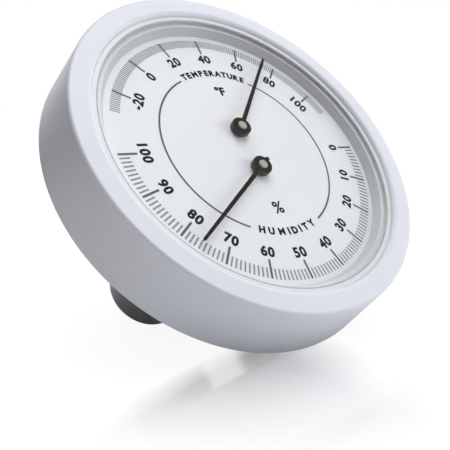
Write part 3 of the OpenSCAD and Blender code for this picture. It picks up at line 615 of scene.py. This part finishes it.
def plated_surface_group():
    """Zinc plated steel: blotches of bloom in the zinc, and fine lines left by rolling, which are
    noise stretched along X."""
    group, given, made = new_group(
        "plated_surface", {"Bloom": 0.2, "Roughness": 0.3, "Line Depth": 0.000003},
        {"Colour": "NodeSocketColor", "Roughness": "NodeSocketFloat", "Normal": "NodeSocketVector"})
    place = node_step(group, "ShaderNodeTexCoord").outputs["Object"]
    stretched = node_step(group, "ShaderNodeMapping", {"Vector": place, "Scale": (60.0, 2600.0, 2600.0)})
    lines = node_step(group, "ShaderNodeTexNoise",
                      {"Vector": stretched.outputs[0], "Scale": 1.0, "Detail": 3.0})
    bloom = node_step(group, "ShaderNodeTexVoronoi", {"Vector": place, "Scale": 1300.0, "Randomness": 1.0})
    amount = node_step(group, "ShaderNodeMath", {0: bloom.outputs["Distance"], 1: given.outputs["Bloom"]},
                       operation="MULTIPLY")
    clean = node_step(group, "ShaderNodeMath", {0: 1.0, 1: amount.outputs[0]}, operation="SUBTRACT")
    tint = node_step(group, "ShaderNodeVectorMath", {0: given.outputs["Colour"], "Scale": clean.outputs[0]},
                     operation="SCALE")
    rough = node_step(group, "ShaderNodeMath",
                      {0: lines.outputs["Fac"], 1: 0.15, 2: given.outputs["Roughness"]},
                      operation="MULTIPLY_ADD")
    relief = node_step(group, "ShaderNodeBump",
                       {"Strength": 1.0, "Distance": given.outputs["Line Depth"],
                        "Height": lines.outputs["Fac"]})
    group.links.new(tint.outputs[0], made.inputs["Colour"])
    group.links.new(rough.outputs[0], made.inputs["Roughness"])
    group.links.new(relief.outputs[0], made.inputs["Normal"])
    return group


plated_surface = plated_surface_group()
plated_steel = finish_with("plated_steel", plated_surface, (0.60, 0.61, 0.62),
                           {"Bloom": 0.25, "Roughness": 0.24}, Metallic=1.0)
for part in ("movement_screws", "bridge_screws", "cover_screws", "hanger_plate", "hanger_rivets",
             "leg_screws", "leg_washers"):
    dress(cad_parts[part], plated_steel)

# Rear cover, legs and feet. The cover is a moulded disc with vents, screwed to the movement's
# pillars. Two hollow legs are screwed to it, and a deep cup of dark rubber is pulled over each; its
# colour turns pale grey towards its edges, a painted sheen where the surface turns from the view.

cover_back, collar_end, foot_end, foot_gap = -21.925, -38.7126, -58.7126, 0.05
leg_x, leg_drop, leg_r = 25.0, 20.4, 13.6
dress(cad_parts["rear_cover"], case_plastic)

foot_rubber = finish_with("foot_rubber", moulded_surface, (0.15, 0.15, 0.15),
                          {"Grain Scale": 1500.0, "Grain Depth": 0.00003, "Drift": 0.25, "Roughness": 0.34,
                           "Roughness Spread": 0.2}, IOR=1.52, Sheen_Weight=0.9, Sheen_Roughness=0.35)
rubber_tree = foot_rubber.node_tree
# Painted sheen: a Layer Weight's Facing mixes the rubber's colour towards pale grey at the edges that turn
# from the view, standing in for light glancing off them.
edge = node_step(rubber_tree, "ShaderNodeLayerWeight", {"Blend": 0.5})
edge_sheen = node_step(rubber_tree, "ShaderNodeMapRange", {"Value": edge.outputs["Facing"], "From Min": 0.3,
                                                     "From Max": 0.9}, interpolation_type="SMOOTHSTEP")
rubber = next(node for node in rubber_tree.nodes if node.type == "GROUP")
sheen_lifted = node_step(rubber_tree, "ShaderNodeMix", {0: edge_sheen.outputs[0], 6: rubber.outputs["Colour"],
                                                 7: (0.5, 0.5, 0.51, 1.0)}, data_type="RGBA")
rubber_tree.links.new(sheen_lifted.outputs[2], rubber_tree.nodes["Principled BSDF"].inputs["Base Color"])
for side, x in (("left", -leg_x), ("right", leg_x)):
    collar = lathe(f"{side}_collar", soft_profile([
        (0, cover_back, 0), (leg_r, cover_back, 0.6), (leg_r, collar_end, 0.25), (0, collar_end, 0)], 6),
        (x, -leg_drop), 192)
    dress(collar, case_plastic, "case", [f"{side}_leg"])
    shoe = lathe(f"{side}_shoe", soft_profile([
        (0, collar_end - foot_gap, 0), (leg_r, collar_end - foot_gap, 0.35), (leg_r, foot_end, 1.0),
        (0, foot_end, 0)], 8), (x, -leg_drop), 192)
    dress(shoe, foot_rubber, "case", [f"{side}_foot"])

# Table. A white board under the instrument, polished in a patch in front of it, where it mirrors
# the case. It keeps the shadow, and shows plain white to the camera and through glass.

table_half, table_gap = 4.0, 0.00005
table_corners = np.array([[-1, -1, 0], [1, -1, 0], [1, 1, 0], [-1, 1, 0]]) * table_half
floor = to_mesh("table", table_corners - [0, 0, table_gap], [[0, 1, 2, 3]])
board = bpy.data.materials.new("table_board")
board.use_nodes = True
board_tree = board.node_tree
board_tree.nodes.remove(board_tree.nodes["Principled BSDF"])
ray = node_step(board_tree, "ShaderNodeLightPath")
seen = node_step(board_tree, "ShaderNodeMath",
                 {0: ray.outputs["Is Camera Ray"], 1: ray.outputs["Is Transmission Ray"]},
                 operation="MAXIMUM")
direct = node_step(board_tree, "ShaderNodeMath", {0: ray.outputs["Diffuse Depth"], 1: 0.5},
                   operation="LESS_THAN")
seen = node_step(board_tree, "ShaderNodeMath", {0: seen.outputs[0], 1: direct.outputs[0]},
                 operation="MULTIPLY")
place = node_step(board_tree, "ShaderNodeTexCoord").outputs["Object"]
distance = node_step(board_tree, "ShaderNodeVectorMath", {0: place}, operation="LENGTH")
near = node_step(board_tree, "ShaderNodeMapRange",
                 {"Value": distance.outputs["Value"], "From Min": 0.02, "From Max": 0.115, "To Min": 0.7,
                  "To Max": 0.0}, interpolation_type="SMOOTHSTEP")
across = node_step(board_tree, "ShaderNodeSeparateXYZ", {0: place})
slanted = node_step(board_tree, "ShaderNodeMath",
                    {0: across.outputs["X"], 1: -0.28, 2: across.outputs["Y"]}, operation="MULTIPLY_ADD")
front = node_step(board_tree, "ShaderNodeMapRange", {"Value": slanted.outputs[0], "From Min": -0.022,
                                                     "From Max": -0.0125, "To Min": 1.0, "To Max": 0.0})
side = node_step(board_tree, "ShaderNodeMapRange", {"Value": across.outputs["X"], "From Min": -0.013,
                                                    "From Max": 0.012, "To Min": 1.0, "To Max": 0.0})
patch = node_step(board_tree, "ShaderNodeMath", {0: front.outputs[0], 1: side.outputs[0]},
                  operation="MULTIPLY")
mirror = node_step(board_tree, "ShaderNodeMath", {0: near.outputs[0], 1: patch.outputs[0]},
                   operation="MULTIPLY")
matt = node_step(board_tree, "ShaderNodeBsdfDiffuse", {"Color": (0.8, 0.8, 0.8, 1.0)})
lift = node_step(board_tree, "ShaderNodeEmission", {"Color": (1.0, 1.0, 1.0, 1.0), "Strength": 0.02})
matt = node_step(board_tree, "ShaderNodeAddShader", {0: matt.outputs[0], 1: lift.outputs[0]})
faint = node_step(board_tree, "ShaderNodeBsdfDiffuse", {"Color": (0.1, 0.1, 0.1, 1.0)})
bright = node_step(board_tree, "ShaderNodeMapRange", {"Value": distance.outputs["Value"], "From Min": 0.04,
                                                      "From Max": 0.12, "To Min": 0.925, "To Max": 1.0})
glow = node_step(board_tree, "ShaderNodeEmission",
                 {"Color": (1.0, 1.0, 1.0, 1.0), "Strength": bright.outputs[0]})
shown = node_step(board_tree, "ShaderNodeAddShader", {0: faint.outputs[0], 1: glow.outputs[0]})
gloss = node_step(board_tree, "ShaderNodeBsdfGlossy", {"Color": (1.0, 1.0, 1.0, 1.0), "Roughness": 0.16})
polished = node_step(board_tree, "ShaderNodeMixShader",
                     {0: mirror.outputs[0], 1: shown.outputs[0], 2: gloss.outputs[0]})
either = node_step(board_tree, "ShaderNodeMixShader",
                   {0: seen.outputs[0], 1: matt.outputs[0], 2: polished.outputs[0]})
board_tree.links.new(either.outputs[0], board_tree.nodes["Material Output"].inputs["Surface"])
floor.data.materials.append(board)

# Studio. A white surround that the camera, gloss and glass see, darker overhead and at the left for
# gloss, with a low plain level for the rest, and soft boxes overhead, at the right, in front, behind.

world = bpy.data.worlds.new("studio")
bpy.context.scene.world = world
world.use_nodes = True
sky = world.node_tree
background = sky.nodes["Background"]
ray = node_step(sky, "ShaderNodeLightPath")
direction = node_step(sky, "ShaderNodeTexCoord").outputs["Generated"]
towards = node_step(sky, "ShaderNodeSeparateXYZ", {0: direction})
overhead = node_step(sky, "ShaderNodeMapRange",
                     {"Value": towards.outputs["Z"], "From Min": 0.25, "From Max": 0.6, "To Min": 1.0,
                      "To Max": 0.1})
leftward = node_step(sky, "ShaderNodeMapRange",
                     {"Value": towards.outputs["X"], "From Min": -0.25, "From Max": 0.15, "To Min": 0.05,
                      "To Max": 1.0})
card = node_step(sky, "ShaderNodeMath", {0: leftward.outputs[0], 1: overhead.outputs[0]},
                 operation="MULTIPLY")
white_level = node_step(sky, "ShaderNodeMath",
                        {0: ray.outputs["Is Camera Ray"], 1: ray.outputs["Is Transmission Ray"]},
                        operation="MAXIMUM")
reflected = node_step(sky, "ShaderNodeMath", {0: ray.outputs["Glossy Depth"], 1: 0.5},
                      operation="GREATER_THAN")
shown_level = node_step(sky, "ShaderNodeMix",
                        {0: reflected.outputs[0], 2: white_level.outputs[0], 3: card.outputs[0]})
direct = node_step(sky, "ShaderNodeMath", {0: ray.outputs["Diffuse Depth"], 1: 0.5}, operation="LESS_THAN")
direct_level = node_step(sky, "ShaderNodeMath", {0: shown_level.outputs[0], 1: direct.outputs[0]},
                         operation="MULTIPLY")
level = node_step(sky, "ShaderNodeMath", {0: direct_level.outputs[0], 1: 0.02}, operation="MAXIMUM")
sky.links.new(level.outputs[0], background.inputs["Strength"])
background.inputs["Color"].default_value = (1.0, 1.0, 1.0, 1.0)


def soft_box(name, place, target, width, watts):
    """A square lamp at place that faces target. It is hidden from gloss, glass and the camera, so
    that its own reflection doesn't lie on the dial's glass."""
    lamp = bpy.data.lights.new(name, "AREA")
    lamp.size, lamp.energy = width, watts
    holder = bpy.data.objects.new(name, lamp)
    holder.location = place
    holder.rotation_euler = (Vector(target) - Vector(place)).to_track_quat("-Z", "Y").to_euler()
    holder.visible_glossy = holder.visible_transmission = holder.visible_camera = False
    bpy.context.scene.collection.objects.link(holder)


soft_box("top_box", (0.12, 0.0, 0.80), (0, 0, 0.05), 0.8, 7.15)
soft_box("right_box", (0.75, -0.40, 0.22), (0, 0, 0.04), 0.45, 3.9)
soft_box("front_box", (-0.10, -0.85, 0.45), (0, 0, 0.05), 0.5, 1.27)
soft_box("back_box", (0.10, 0.65, 0.55), (0, 0, 0.05), 0.6, 1.5)

# Camera. It stands a hand's breadth above the table at the instrument's left front, about 21 cm
# from the dial, so that near edges look larger than far ones.

camera = bpy.data.cameras.new("camera")
camera.lens, camera.sensor_width = 51.92, 36.0
camera.clip_start, camera.clip_end = 0.01, 20.0
viewer = bpy.data.objects.new("camera", camera)
viewer.location = (-0.1415, -0.16795, 0.0777)
viewer.rotation_euler = Vector((0.61525, 0.76327, -0.19717)).to_track_quat("-Z", "Y").to_euler()
bpy.context.scene.collection.objects.link(viewer)
bpy.context.scene.camera = viewer
bpy.context.scene.view_settings.view_transform = "Standard"
